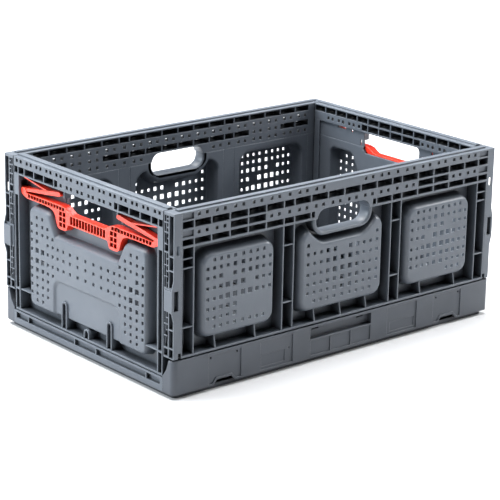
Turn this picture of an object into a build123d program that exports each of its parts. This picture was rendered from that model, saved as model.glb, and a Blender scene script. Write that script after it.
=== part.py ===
"""Collapsible storage crate, 600 x 400 mm footprint.

The crate has a base tray, two long side walls hinged on the base's high side beams, two end
walls hinged on its low sills, and a sliding spring-back latch in each end wall.
Row frame: origin at the middle of the underside, +X along the length, +Z up, millimetres.
Every wall is modelled at the front (-Y) or at the left (-X) and mirrored to the other side.
"""
from math import atan, degrees, hypot
import os

from build123d import *

os.makedirs("parts", exist_ok=True)

# Envelope
LENGTH, WIDTH, HEIGHT = 600, 400, 260
HALF_L, HALF_W = LENGTH / 2, WIDTH / 2
PAD_OUT = HALF_L + 2         # pads on the corner posts stand out a little past the base

# Base tray
FOOT_H = 7                   # stacking foot under the skirt
FLOOR_T = 3
BEAM_TOP = 55                # side beams, the high long sides of the tray
SILL_TOP = 27                # end sills, the low short sides of the tray
CORNER_R = 8
CORNER_X = 240               # corner blocks reach from here to the ends
BEAM_IN = 176.5              # inner face of the side beams
SILL_IN = 282.5

# Walls
WALL_T = 22
SKIN = 2.5                   # plate thickness of the ribbed walls
SIDE_OUT = 198.5             # outer face of the long walls
SIDE_IN = SIDE_OUT - WALL_T
END_OUT = 298.5              # outer face of the end walls
END_IN = END_OUT - WALL_T
END_HALF = 174.5             # half width of an end wall, 2 mm clear of the long walls
POST_X = 286                 # corner posts of the long walls start here
RIM_TOP = 257.5              # the stacking ridge stands on this plate
RIDGE_W = 8
SIDE_BOTTOM, END_BOTTOM = 57, 28
SIDE_BAND = 208.5            # underside of the pocketed band of a long wall
END_BAND = 232               # underside of the pocketed band of an end wall
RAIL_T = 3                   # bottom rail of each wall
POCKET = WALL_T - SKIN       # depth of the pockets
RIB_HALF = 1

# Hinges
SIDE_AXIS_Y, SIDE_AXIS_Z = SIDE_OUT - WALL_T / 2, 52
END_AXIS_X, END_AXIS_Z = END_OUT - WALL_T / 2, 22
PIN_R, BORE_R = 2.5, 2.6
LUG_R, LUG_W = 4.4, 12
CHEEK_R, CHEEK_W = 4.6, 6
LUG_GAP = 0.5
SIDE_LUGS = [85 * (k - 2.5) for k in range(6)]
END_LUGS = [-140, -53.5, 0, 53.5, 140]

# Rib grid of the long walls and of the end walls: distances of the ribs from the middle
SIDE_RIBS = [0, 30.5, 61.5, 91.5, 110.5, 142, 173.5, 205, 236.5, 265.5, POST_X]
END_RIBS = [0, 26, 50.6, 75.4, 100, 124.4, 148.7, END_HALF]
END_RIBS_LOW = [0, 26, 50.6, 65.5, 75.4, 100, 124.4, 148.7, 164, END_HALF]
SIDE_ROWS = {"a": (247, 255.5), "b": (235, 244.8), "c": (223.3, 232.4), "d": (211.6, 220.2)}
END_ROWS = {"a": (246.5, 255.5), "b": (234.3, 244)}
VENT = 5                     # square vent holes in the bands
TOP_VENT_Z = 252.4           # height of the uppermost vents

# Hand holes
HAND_HALF, HAND_LOW, HAND_HIGH, HAND_R = 49.5, 188.5, 221.5, 15
END_HAND_HALF, END_HAND_LOW, END_HAND_R = 61, 198, 8


def save(piece, name):
    """Label a finished piece and write it as one STEP file."""
    piece.part.label = name
    export_step(piece.part, f"parts/{name}.step")


def save_mirrored(piece, plane, name):
    """Write the mirror image of a piece, for the other side of the crate."""
    with BuildPart() as twin:
        mirror(piece.part, about=plane)
    save(twin, name)
    return twin


def save_pair(piece, plane, names):
    """Write a piece and its mirror image."""
    save(piece, names[0])
    return save_mirrored(piece, plane, names[1])


def cells(ribs):
    """Cells between neighbouring ribs on both sides of the middle, as (low, high)."""
    for low, high in zip(ribs, ribs[1:]):
        yield low + RIB_HALF, high - RIB_HALF
        yield RIB_HALF - high, -low - RIB_HALF


def draw_boxes(boxes):
    """Add rectangles given as (low, high, bottom, top) to the open sketch, sizes grouped."""
    groups = {}
    for low, high, bottom, top in boxes:
        size = (round(high - low, 3), round(top - bottom, 3))
        groups.setdefault(size, []).append(((low + high) / 2, (bottom + top) / 2))
    for (width, height), centres in groups.items():
        with Locations(*centres):
            Rectangle(width, height)


def vent_boxes(spans, middle):
    """Two vents in each wide cell and one in each narrow cell, at the given height."""
    for low, high in spans:
        centre = (low + high) / 2
        offsets = (-6.8, 6.8) if high - low > 26 else (-5, 5) if high - low > 20 else (0,)
        for offset in offsets:
            yield (centre + offset - VENT / 2, centre + offset + VENT / 2,
                   middle - VENT / 2, middle + VENT / 2)


def panel_holes(columns, rows, width):
    """Square holes of a perforated panel as boxes; a width of 0 leaves a plain spot."""
    for x in columns:
        for z in rows:
            half = width(x, z) / 2
            if half:
                yield x - half, x + half, z - half, z + half


# ---------------------------------------------------------------- base tray

with BuildPart() as foot_ring:
    with BuildSketch():
        RectangleRounded(LENGTH - 14, WIDTH - 14, CORNER_R - 2)
        RectangleRounded(LENGTH - 38, WIDTH - 38, CORNER_R - 6, mode=Mode.SUBTRACT)
    extrude(amount=FOOT_H)
save(foot_ring, "foot_ring")

with BuildPart() as floor_ribs:
    with BuildSketch(Plane.XY.offset(FOOT_H - 4)):
        with GridLocations(0, 45, 1, 8):
            Rectangle(LENGTH - 38, 2.5)
    extrude(amount=4)
save(floor_ribs, "floor_ribs")

with BuildPart() as base_floor:
    with BuildSketch(Plane.XY.offset(FOOT_H)):
        Rectangle(2 * SILL_IN, 2 * BEAM_IN)
        with GridLocations(26, 26, 20, 12):
            Rectangle(9, 9, mode=Mode.SUBTRACT)
    extrude(amount=FLOOR_T)
save(base_floor, "base_floor")


# Section of a side beam: high outside, low inside, so that the walls can fold over it
BEAM_SECTION = [(-HALF_W, FOOT_H), (-HALF_W, BEAM_TOP), (-189.5, BEAM_TOP), (-184.5, 40),
                (-BEAM_IN, 30), (-BEAM_IN, FOOT_H)]
NOTCH_X = 212.5              # fork notches in the lower edge of the skirt
PANEL_EDGES = [(183, 241), (90, 149)]
WINDOW_HALF = 58

with BuildPart() as base_side_front:
    with BuildSketch(Plane.YZ.offset(-CORNER_X)):
        Polygon(*BEAM_SECTION, align=None)
        with Locations((-SIDE_AXIS_Y, SIDE_AXIS_Z)):
            Circle(CHEEK_R)
    extrude(amount=2 * CORNER_X)
    # cavities under the beam, between cross webs
    with Locations(*[(48 * (k - 4.5), -188, FOOT_H + 12) for k in range(10)]):
        Box(44, 16, 24, mode=Mode.SUBTRACT)
    # shallow fields of the skirt, the fork notches and the label window
    with BuildSketch(Plane.XZ.offset(HALF_W)):
        draw_boxes([(s * (a + b) / 2 - (b - a) / 2, s * (a + b) / 2 + (b - a) / 2, 10, 51)
                    for a, b in PANEL_EDGES for s in (-1, 1)])
        draw_boxes([(38.6 * k - 18.6, 38.6 * k + 18.6, 11, 33) for k in (-1, 0, 1)])
    extrude(amount=-1.4, mode=Mode.SUBTRACT)
    # raised lips round the fork notches
    with BuildSketch(Plane.XZ.offset(HALF_W)):
        with Locations((-NOTCH_X, FOOT_H), (NOTCH_X, FOOT_H)):
            Trapezoid(46, 10.8, 50, align=(Align.CENTER, Align.MIN))
    extrude(amount=-1.4)
    with BuildSketch(Plane.XZ.offset(HALF_W)):
        draw_boxes([(-WINDOW_HALF, WINDOW_HALF, 35, 51.5)])
    extrude(amount=-8, mode=Mode.SUBTRACT)
    # blank plates sunk in the inner fields, and a small pit beside the left one
    with BuildSketch(Plane.XZ.offset(HALF_W)):
        draw_boxes([(-146, -104, 14, 31), (97, 145, 14, 28)])
        with Locations((-97, 32)):
            Circle(1.8)
    extrude(amount=-2.2, mode=Mode.SUBTRACT)
    with BuildSketch(Plane.XZ.offset(HALF_W)):
        for side in (-1, 1):
            with Locations((side * NOTCH_X, FOOT_H)):
                Trapezoid(38, 7.5, 50, align=(Align.CENTER, Align.MIN))
            with Locations((side * (NOTCH_X - 23), 47), (side * (NOTCH_X + 23), 47)):
                Circle(1.6)
    extrude(amount=-8, mode=Mode.SUBTRACT)
    # sockets for the wall's lugs, and the bores of their pins
    with Locations(*[(x, -SIDE_AXIS_Y, SIDE_AXIS_Z + 1) for x in SIDE_LUGS]):
        Box(LUG_W + 2 * LUG_GAP, 11, 14, mode=Mode.SUBTRACT)
    with Locations(*[Location((x, -SIDE_AXIS_Y, SIDE_AXIS_Z), (0, 90, 0)) for x in SIDE_LUGS]):
        Cylinder(BORE_R, LUG_W + 2 * CHEEK_W + 2 * LUG_GAP, mode=Mode.SUBTRACT)
save_pair(base_side_front, Plane.XZ, ("base_side_front", "base_side_back"))

with BuildPart() as corner_block:
    with BuildSketch(Plane.YZ.offset(-HALF_L)):
        Polygon(*BEAM_SECTION, align=None)
    extrude(amount=HALF_L - CORNER_X)
    fillet(corner_block.edges().filter_by(Axis.Z).group_by(Axis.X)[0].group_by(Axis.Y)[0], CORNER_R)
    with Locations((-264, -188, FOOT_H + 12)):
        Box(40, 16, 24, mode=Mode.SUBTRACT)
save_pair(corner_block, Plane.XZ, ("corner_block_front_left", "corner_block_back_left"))
corner_right = save_mirrored(corner_block, Plane.YZ, "corner_block_front_right")
save_mirrored(corner_right, Plane.XZ, "corner_block_back_right")

with BuildPart() as base_sill_left:
    with BuildSketch(Plane.XZ.offset(-BEAM_IN)):
        Polygon((-HALF_L, FOOT_H), (-HALF_L, SILL_TOP), (-292.5, SILL_TOP), (-292.5, 13),
                (-SILL_IN, 13), (-SILL_IN, FOOT_H), align=None)
    extrude(amount=2 * BEAM_IN)
    # long shallow pockets in the outer face, split by small ribs
    with BuildSketch(Plane.YZ.offset(-HALF_L)):
        draw_boxes([(-171, -141.5, 15.5, 24.3), (-139.5, -26.5, 15.5, 24.3),
                    (-24.5, 24.5, 15.5, 24.3), (26.5, 139.5, 15.5, 24.3),
                    (141.5, 171, 15.5, 24.3)])
    extrude(amount=5, mode=Mode.SUBTRACT)
    # cheeks on both sides of each lug, with the bores of the pins
    offset = (LUG_W + CHEEK_W) / 2 + LUG_GAP
    cheeks = [(-END_AXIS_X, y + side * offset) for y in END_LUGS for side in (-1, 1)]
    with Locations(*[Location((x, y, END_AXIS_Z), (90, 0, 0)) for x, y in cheeks]):
        Cylinder(CHEEK_R, CHEEK_W)
    with Locations(*[(x, y, (13 + END_AXIS_Z) / 2) for x, y in cheeks]):
        Box(2 * CHEEK_R, CHEEK_W, END_AXIS_Z - 13)
    with Locations(*[Location((-END_AXIS_X, y, END_AXIS_Z), (90, 0, 0)) for y in END_LUGS]):
        Cylinder(BORE_R, LUG_W + 2 * CHEEK_W + 2 * LUG_GAP, mode=Mode.SUBTRACT)
save_pair(base_sill_left, Plane.YZ, ("base_sill_left", "base_sill_right"))

# ---------------------------------------------------------------- long side walls

side_cells = list(cells(SIDE_RIBS))
row_a, row_b, row_c, row_d = SIDE_ROWS.values()
open_c = [c for c in side_cells if 142 < abs(sum(c)) / 2 < 206]
vented = [c for c in side_cells if abs(sum(c)) / 2 < 266]
outer_cells = [c for c in side_cells if abs(sum(c)) / 2 > 266]

with BuildPart() as side_rim:
    with Locations((0, -(SIDE_OUT + SIDE_IN) / 2, (SIDE_BAND + RIM_TOP) / 2)):
        Box(2 * POST_X, WALL_T, RIM_TOP - SIDE_BAND)
    with Locations((0, -(SIDE_OUT + SIDE_IN) / 2, (RIM_TOP + HEIGHT) / 2)):
        Box(2 * POST_X, RIDGE_W, HEIGHT - RIM_TOP)
    # pockets open to the outside
    with BuildSketch(Plane.XZ.offset(SIDE_OUT)):
        draw_boxes([(*c, *row_b) for c in side_cells])
        draw_boxes([(*c, *row_c) for c in open_c])
        draw_boxes([(*c, *row_d) for c in side_cells if abs(sum(c)) / 2 > HAND_HALF + 20])
        draw_boxes([(HAND_HALF + 5, SIDE_RIBS[2] - RIB_HALF, *row_d),
                    (RIB_HALF - SIDE_RIBS[2], -HAND_HALF - 5, *row_d)])
    extrude(amount=-POCKET, mode=Mode.SUBTRACT)
    # strips beside the posts, set back
    with BuildSketch(Plane.XZ.offset(SIDE_OUT)):
        draw_boxes([(*c, *row) for c in outer_cells for row in (row_a, row_c)])
    extrude(amount=-3, mode=Mode.SUBTRACT)
    # pockets open to the inside
    with BuildSketch(Plane.XZ.offset(SIDE_IN)):
        draw_boxes([(*c, *row_a) for c in vented])
        draw_boxes([(*c, *row_c) for c in vented if c not in open_c])
    extrude(amount=POCKET, mode=Mode.SUBTRACT)
    # vent holes through the remaining skins
    with BuildSketch(Plane.XZ.offset(SIDE_OUT)):
        draw_boxes(vent_boxes([c for c in vented if abs(sum(c)) / 2 > 31], TOP_VENT_Z))
        draw_boxes(vent_boxes(vented, sum(row_b) / 2))
        draw_boxes(vent_boxes(vented, sum(row_c) / 2))
        draw_boxes(vent_boxes([c for c in vented if abs(sum(c)) / 2 > HAND_HALF + 20],
                              sum(row_d) / 2))
    extrude(amount=-WALL_T, mode=Mode.SUBTRACT)
    # upper part of the hand hole
    with BuildSketch(Plane.XZ.offset(SIDE_OUT)):
        with Locations((0, (HAND_LOW + HAND_HIGH) / 2)):
            RectangleRounded(2 * HAND_HALF, HAND_HIGH - HAND_LOW, HAND_R)
    extrude(amount=-WALL_T, mode=Mode.SUBTRACT)
save_pair(side_rim, Plane.XZ, ("front_wall_rim", "back_wall_rim"))

BULGE_IN = 8                 # how far the slopes of a panel come in from field to face
TAPER = degrees(atan(BULGE_IN / POCKET))
FACE_LOW, FACE_HIGH = 80.5, 190
PANEL_Z = (FACE_LOW + FACE_HIGH) / 2
FIELD_LOW = SIDE_BOTTOM + RAIL_T
SIDE_HOLE_ROWS = (90.5, 103, 115.9, 129.8, 145.2, 159.6, 172.5, 184.3)
OUTER_COLUMNS = [s * c for c in (7, 19.5, 31.3, 42.7, 54) for s in (-1, 1)]
CENTRE_COLUMNS = [0] + [s * c for c in (14.4, 27.7, 40.2, 52.5, 64.7) for s in (-1, 1)]

DISH = (124, 42, 20)         # scoop in front of the hand hole: width, height, corner radius
DISH_Z = 195


def side_panel(centre, field_half, face_half, columns, plain, dish=False):
    """A perforated panel: thin field with a hollow bulge that comes out to the rib faces."""
    height = FACE_HIGH - FACE_LOW + 2 * BULGE_IN
    width = 2 * (face_half + BULGE_IN)
    with BuildPart() as cavity:
        with BuildSketch(Plane.XZ.offset(SIDE_IN)):
            with Locations((centre, PANEL_Z)):
                RectangleRounded(width - 5, height - 5, 17.5)
        extrude(amount=POCKET, taper=TAPER)
        if dish:
            with BuildSketch(Plane.XZ.offset(SIDE_IN)):
                with Locations((centre, DISH_Z)):
                    RectangleRounded(DISH[0] + 2 * SKIN, DISH[1] + 2 * SKIN, DISH[2] + SKIN)
            extrude(amount=WALL_T, mode=Mode.SUBTRACT)
    with BuildPart() as panel:
        with Locations((centre, -SIDE_IN - SKIN / 2, (FIELD_LOW + SIDE_BAND) / 2)):
            Box(2 * field_half, SKIN, SIDE_BAND - FIELD_LOW)
        with BuildSketch(Plane.XZ.offset(SIDE_IN + SKIN)):
            with Locations((centre, PANEL_Z)):
                RectangleRounded(width, height, 20)
        extrude(amount=POCKET, taper=TAPER)
        add(cavity.part, mode=Mode.SUBTRACT)
        if dish:
            with BuildSketch(Plane.XZ.offset(SIDE_IN + SKIN)):
                with Locations((centre, DISH_Z)):
                    RectangleRounded(*DISH)
            extrude(amount=WALL_T, mode=Mode.SUBTRACT)
        with BuildSketch(Plane.XZ.offset(SIDE_OUT)):
            draw_boxes([(centre + a, centre + b, low, high) for a, b, low, high in
                        panel_holes(columns, SIDE_HOLE_ROWS,
                                    lambda x, z: 0 if plain(x, z) else side_hole(x, z))])
        extrude(amount=-2 * SKIN, mode=Mode.SUBTRACT)
    return panel


def side_hole(x, z):
    """Width of a panel hole, larger towards the middle of the panel."""
    return (5, 6.5, 8)[max(0, min(2, int(3.2 - hypot(x, z - 137.5) / 18)))]


def plain_left(x, z):
    """Plain spots of the left panel: the corners, two gate marks and a blank label field."""
    corner = abs(x) > 50 and not 95 < z < 180
    return corner or (x > 0 and 100 < z < 120) or (x, z) in ((-19.5, 159.6), (19.5, 145.2))


def plain_right(x, z):
    """Plain spots of the right panel."""
    corner = abs(x) > 50 and not 95 < z < 180
    return corner or (x < 10 and z < 95) or (x, z) in ((19.5, 159.6), (-19.5, 145.2))


def plain_centre(x, z):
    """Plain spots of the centre panel: beside and below the hand hole, and the lower corners."""
    return (z > 180 or (z > 170 and abs(x) < 60) or (z > 155 and x == 0)
            or (z < 95 and abs(x) > 60))


OUTER_MIDDLE = (SIDE_RIBS[4] + SIDE_RIBS[9]) / 2
OUTER_FIELD = (SIDE_RIBS[9] - SIDE_RIBS[4]) / 2 - RIB_HALF
CENTRE_FIELD = SIDE_RIBS[3] - RIB_HALF

left_panel = side_panel(-OUTER_MIDDLE, OUTER_FIELD, 60, OUTER_COLUMNS, plain_left)
save_pair(left_panel, Plane.XZ, ("front_panel_left", "back_panel_left"))
right_panel = side_panel(OUTER_MIDDLE, OUTER_FIELD, 60, OUTER_COLUMNS, plain_right)
save_pair(right_panel, Plane.XZ, ("front_panel_right", "back_panel_right"))

centre_blank = side_panel(0, CENTRE_FIELD, 74, CENTRE_COLUMNS, plain_centre, dish=True)
LIP = 4                      # wall of the tunnel around the hand hole
hand_middle = (0, (HAND_LOW + HAND_HIGH) / 2)
hand_size = (2 * HAND_HALF, HAND_HIGH - HAND_LOW)
with BuildPart() as centre_panel:
    add(centre_blank.part)
    # tunnel of the hand hole through the wall
    with BuildSketch(Plane.XZ.offset(SIDE_OUT - 3)):
        with Locations(hand_middle):
            RectangleRounded(hand_size[0] + 2 * LIP, hand_size[1] + 2 * LIP, HAND_R + LIP)
    extrude(amount=-WALL_T + 3)
    with BuildSketch(Plane.XZ.offset(SIDE_OUT)):
        with Locations(hand_middle):
            RectangleRounded(*hand_size, HAND_R)
    extrude(amount=-WALL_T, mode=Mode.SUBTRACT)
    split(bisect_by=Plane.XY.offset(SIDE_BAND), keep=Keep.BOTTOM)
save_pair(centre_panel, Plane.XZ, ("front_panel_centre", "back_panel_centre"))

STAY_Z = (98.5, 180.5)       # cross ribs of the channels
HIGH_STAY_Z = 193.5          # one more in the outermost channels
channels = [(SIDE_RIBS[3] - RIB_HALF, SIDE_RIBS[4] + RIB_HALF),
            (SIDE_RIBS[9] - RIB_HALF, POST_X)]
channels += [(-high, -low) for low, high in channels]
with BuildPart() as channel_ribs:
    with BuildSketch(Plane.XY.offset(FIELD_LOW)):
        for low, high in channels:
            with Locations(((low + high) / 2, -(SIDE_OUT + SIDE_IN) / 2)):
                Rectangle(high - low, WALL_T)
            with Locations(((low + high) / 2, -(SIDE_OUT + SIDE_IN) / 2 - SKIN / 2)):
                Rectangle(high - low - 4 * RIB_HALF, POCKET, mode=Mode.SUBTRACT)
    extrude(amount=SIDE_BAND - FIELD_LOW)
    with Locations(*[((low + high) / 2, -(SIDE_OUT + SIDE_IN + SKIN) / 2 + 0.5, z)
                     for low, high in channels for z in STAY_Z]):
        Box(20, POCKET - 1, 2 * RIB_HALF)
    with Locations(*[((low + high) / 2, -(SIDE_OUT + SIDE_IN + SKIN) / 2 + 0.5, HIGH_STAY_Z)
                     for low, high in channels if abs(low + high) > 500]):
        Box(20, POCKET - 1, 2 * RIB_HALF)
save_pair(channel_ribs, Plane.XZ, ("front_wall_channels", "back_wall_channels"))

GUSSETS = [s * x for x in (49, 157, 227) for s in (-1, 1)] + [0]
with BuildPart() as bottom_rail:
    with Locations((0, -(SIDE_OUT + SIDE_IN) / 2, SIDE_BOTTOM + RAIL_T / 2)):
        Box(2 * POST_X, WALL_T, RAIL_T)
    # triangular gussets that stand on the rail below the panels
    for x in GUSSETS:
        with BuildSketch(Plane.YZ.offset(x - RIB_HALF)):
            Polygon((-SIDE_OUT + 1, FIELD_LOW), (-SIDE_OUT + 4.5, 78.5),
                    (-SIDE_IN - SKIN, FACE_LOW - BULGE_IN - 0.2), (-SIDE_IN - SKIN, FIELD_LOW),
                    align=None)
        extrude(amount=2 * RIB_HALF)
save_pair(bottom_rail, Plane.XZ, ("front_wall_bottom_rail", "back_wall_bottom_rail"))

# Corner post: the end face carries a ladder of small pockets, a column of deep ones and a pad
POST_OUT = 298.5
LADDER_Y, LADDER_SPLIT, DEEP_Y = (177.6, 185.6), 181, (188, 196.3)
LADDER_CELLS = [(72, 87), (88.5, 103.5), (105, 121.5), (154.5, 169), (170.5, 184.5),
                (186, 202), (215, 229), (231, 242.5), (244, 253)]
DEEP_CELLS = [(58.5, 70.5), (72.5, 96.5), (98.5, 120), (155.5, 178), (180, 197.5), (199.5, 253.5)]
PAD_Z = (123, 152.5)
with BuildPart() as post:
    with Locations((-(POST_X + POST_OUT) / 2, -(SIDE_OUT + SIDE_IN) / 2,
                    (SIDE_BOTTOM + RIM_TOP) / 2)):
        Box(POST_OUT - POST_X, WALL_T, RIM_TOP - SIDE_BOTTOM)
    with BuildSketch(Plane.YZ.offset(-POST_OUT)):
        for low, high in LADDER_CELLS:
            half = (high - low - 1.6) / 2
            draw_boxes([(-LADDER_SPLIT, -LADDER_Y[0], low, high),
                        (-LADDER_Y[1], -LADDER_SPLIT - 1.2, low, low + half),
                        (-LADDER_Y[1], -LADDER_SPLIT - 1.2, high - half, high)])
        draw_boxes([(-LADDER_Y[1], -LADDER_Y[0], 59.5, 69.5),
                    (-LADDER_Y[1], -LADDER_Y[0], 204, 213)])
        draw_boxes([(-DEEP_Y[1], -DEEP_Y[0], low, high) for low, high in DEEP_CELLS])
    extrude(amount=7, mode=Mode.SUBTRACT)
    # pad at mid height, with sloped ends on the outer edge
    with Locations((-(POST_OUT + PAD_OUT) / 2, -(LADDER_SPLIT + DEEP_Y[1]) / 2, sum(PAD_Z) / 2)):
        Box(PAD_OUT - POST_OUT, DEEP_Y[1] - LADDER_SPLIT, PAD_Z[1] - PAD_Z[0])
    with BuildSketch(Plane.XZ.offset(DEEP_Y[1])):
        Polygon((-POST_OUT, PAD_Z[0] - 14), (-PAD_OUT, PAD_Z[0]), (-PAD_OUT, PAD_Z[1]),
                (-POST_OUT, PAD_Z[1] + 14), align=None)
    extrude(amount=SIDE_OUT - DEEP_Y[1])
    # slots in the side face
    with BuildSketch(Plane.XZ.offset(SIDE_OUT)):
        draw_boxes([(-294.5, -289.5, 200.5, 213.5), (-298.5, -291, 124.5, 152),
                    (-291, -POST_X, SIDE_BOTTOM, 64.5)])
    extrude(amount=-7, mode=Mode.SUBTRACT)
save_pair(post, Plane.XZ, ("corner_post_front_left", "corner_post_back_left"))
post_right = save_mirrored(post, Plane.YZ, "corner_post_front_right")
save_mirrored(post_right, Plane.XZ, "corner_post_back_right")

with BuildPart() as side_lugs:
    with Locations(*[(x, -SIDE_AXIS_Y, (SIDE_AXIS_Z + SIDE_BOTTOM) / 2) for x in SIDE_LUGS]):
        Box(LUG_W, 2 * LUG_R, SIDE_BOTTOM - SIDE_AXIS_Z)
    with Locations(*[Location((x, -SIDE_AXIS_Y, SIDE_AXIS_Z), (0, 90, 0)) for x in SIDE_LUGS]):
        Cylinder(LUG_R, LUG_W)
        Cylinder(PIN_R, LUG_W + 2 * CHEEK_W)
save_pair(side_lugs, Plane.XZ, ("front_wall_hinge_lugs", "back_wall_hinge_lugs"))

# ---------------------------------------------------------------- end walls

end_cells, low_cells = list(cells(END_RIBS)), list(cells(END_RIBS_LOW))
end_a, end_b = END_ROWS.values()
MIDDLE_B = 65                # the second row opens inwards between these ribs
with BuildPart() as end_rim:
    with Locations((-(END_OUT + END_IN) / 2, 0, (END_BAND + RIM_TOP) / 2)):
        Box(WALL_T, 2 * END_HALF, RIM_TOP - END_BAND)
    with Locations((-(END_OUT + END_IN) / 2, 0, (RIM_TOP + HEIGHT) / 2)):
        Box(RIDGE_W, 2 * END_HALF, HEIGHT - RIM_TOP)
    with BuildSketch(Plane.YZ.offset(-END_OUT)):
        draw_boxes([(*c, *end_b) for c in low_cells if abs(sum(c)) / 2 > MIDDLE_B])
    extrude(amount=POCKET, mode=Mode.SUBTRACT)
    with BuildSketch(Plane.YZ.offset(-END_IN)):
        draw_boxes([(*c, *end_a) for c in end_cells])
        draw_boxes([(*c, *end_b) for c in low_cells if abs(sum(c)) / 2 < MIDDLE_B])
    extrude(amount=-POCKET, mode=Mode.SUBTRACT)
    with BuildSketch(Plane.YZ.offset(-END_OUT)):
        draw_boxes(vent_boxes(end_cells, TOP_VENT_Z))
        draw_boxes(vent_boxes([c for c in low_cells if abs(sum(c)) / 2 < 150], sum(end_b) / 2))
    extrude(amount=WALL_T, mode=Mode.SUBTRACT)
save_pair(end_rim, Plane.YZ, ("left_wall_rim", "right_wall_rim"))

END_FIELD = 162.5            # half width of the panel between the rails
PLATE_OUT = 282              # outer face of the thin plate behind the latch and round the bulge
PLATE_IN = PLATE_OUT - SKIN
END_DEPTH = END_OUT - PLATE_OUT
END_BULGE_IN = 4
END_TAPER = degrees(atan(END_BULGE_IN / END_DEPTH))
END_FACE_HALF, END_FACE_LOW, END_FACE_HIGH = 136, 47, 190.8
STEP_TOP_HALF, STEP_HALF, STEP_Z = 87, 70, 160
RECESS_HALF, RECESS_TOP, RECESS = 79, 97, 3.5
KEYHOLES = [(-53.5, 71), (0, 45), (53.5, 71)]
CROSS_RIB_Z = 61
END_COLUMNS = [s * c for c in (131, 118, 104.2, 91.5, 79.2, 66.7, 52.8, 36.9, 18.8)
               for s in (-1, 1)] + [0]
# rows of holes: height, and the nearest and farthest column of the row
END_HOLE_ROWS = {56.3: (100, 125), 66.3: (88, 140), 77.9: (88, 140), 90: (88, 140),
                 101.8: (75, 140), 115: (0, 140), 130.3: (0, 140), 143.7: (0, 140),
                 155.8: (75, 140), 167.4: (88, 140), 178.9: (100, 125)}
SPLIT_Z = 208                # the panel's plate ends here and the latch guides go on upwards
OUTWARD = Plane(origin=(0, 0, 0), x_dir=(0, -1, 0), z_dir=(-1, 0, 0))


def bulge_outline(inset):
    """Outline of the end panel's face, stepped down in the middle to make room for fingers."""
    half, low, high = END_FACE_HALF - inset, END_FACE_LOW + inset, END_FACE_HIGH - inset
    top, step_half, step = STEP_TOP_HALF + inset, STEP_HALF + inset, STEP_Z - inset
    return [(-half, low), (half, low), (half, high), (top, high), (step_half, step),
            (-step_half, step), (-top, high), (-half, high)]


def end_hole(y, z):
    """Width of a hole of the end panel: one spot is plain, and four on each side are large."""
    outer, (near, far) = abs(y), END_HOLE_ROWS[z]
    if not near <= outer <= far or (z == 143.7 and outer == 104.2):
        return 0
    if outer in (104.2, 118) and 110 < z < 135:
        return 8
    return 6.5 if outer in (104.2, 118) and 95 < z < 145 else 5


# The hand hole of an end wall as a solid to cut with, rounded at the corners, below the rim band
with BuildPart() as hand_hole:
    with BuildSketch(Plane.YZ.offset(-END_OUT)):
        with Locations((0, (END_HAND_LOW + END_BAND) / 2)):
            RectangleRounded(2 * END_HAND_HALF, END_BAND - END_HAND_LOW, END_HAND_R)
    extrude(amount=WALL_T)

with BuildPart() as end_panel:
    with Locations((-(PLATE_OUT + PLATE_IN) / 2, 0, (SPLIT_Z + END_BOTTOM + RAIL_T) / 2)):
        Box(SKIN, 2 * END_FIELD, SPLIT_Z - END_BOTTOM - RAIL_T)
    with BuildSketch(OUTWARD.offset(PLATE_OUT)) as face_outline:
        Polygon(*bulge_outline(-END_BULGE_IN), align=None)
        fillet(face_outline.vertices(), 12)
    extrude(amount=END_DEPTH, taper=END_TAPER)
    with BuildSketch(Plane.YZ.offset(-END_OUT)):
        with Locations((0, (RECESS_TOP + END_FACE_LOW) / 2 - 5)):
            RectangleRounded(2 * RECESS_HALF, RECESS_TOP - END_FACE_LOW + 10, 14)
    extrude(amount=RECESS, mode=Mode.SUBTRACT)
with BuildPart() as end_cavity:
    with BuildSketch(OUTWARD.offset(PLATE_IN)) as cavity_outline:
        Polygon(*bulge_outline(SKIN - END_BULGE_IN), align=None)
        fillet(cavity_outline.vertices(), 12)
    extrude(amount=END_DEPTH, taper=END_TAPER)
    with Locations((-END_OUT + (RECESS + SKIN) / 2, 0, RECESS_TOP / 2 + SKIN)):
        Box(RECESS + SKIN, 2 * (RECESS_HALF + SKIN), RECESS_TOP, mode=Mode.SUBTRACT)
with BuildPart() as left_panel_end:
    add(end_panel.part)
    add(end_cavity.part, mode=Mode.SUBTRACT)
    # keyhole ribs below the recess, each with a slot down its middle
    for y, top in KEYHOLES:
        with BuildSketch(Plane.YZ.offset(-END_OUT)):
            with Locations((y, (top + END_BOTTOM + RAIL_T) / 2)):
                SlotOverall(top - END_BOTTOM - RAIL_T, 13, rotation=90)
        extrude(amount=END_DEPTH)
        with BuildSketch(Plane.YZ.offset(-END_OUT)):
            with Locations((y, (top + END_BOTTOM + RAIL_T) / 2)):
                SlotOverall(top - END_BOTTOM - RAIL_T - 9, 5, rotation=90)
        extrude(amount=END_DEPTH - 4, mode=Mode.SUBTRACT)
    # cross ribs between the bulge and the rails
    for side in (-1, 1):
        with Locations((-(PLATE_OUT + END_OUT) / 2 + 0.5, side * (END_FACE_HALF + END_FIELD) / 2,
                        CROSS_RIB_Z)):
            Box(END_DEPTH - 1, END_FIELD - END_FACE_HALF - 1, 2)
    with BuildSketch(Plane.YZ.offset(-END_OUT)):
        draw_boxes(panel_holes(END_COLUMNS, END_HOLE_ROWS, end_hole))
    extrude(amount=2 * SKIN, mode=Mode.SUBTRACT)
    add(hand_hole.part, mode=Mode.SUBTRACT)
save_pair(left_panel_end, Plane.YZ, ("left_wall_panel", "right_wall_panel"))

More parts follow.
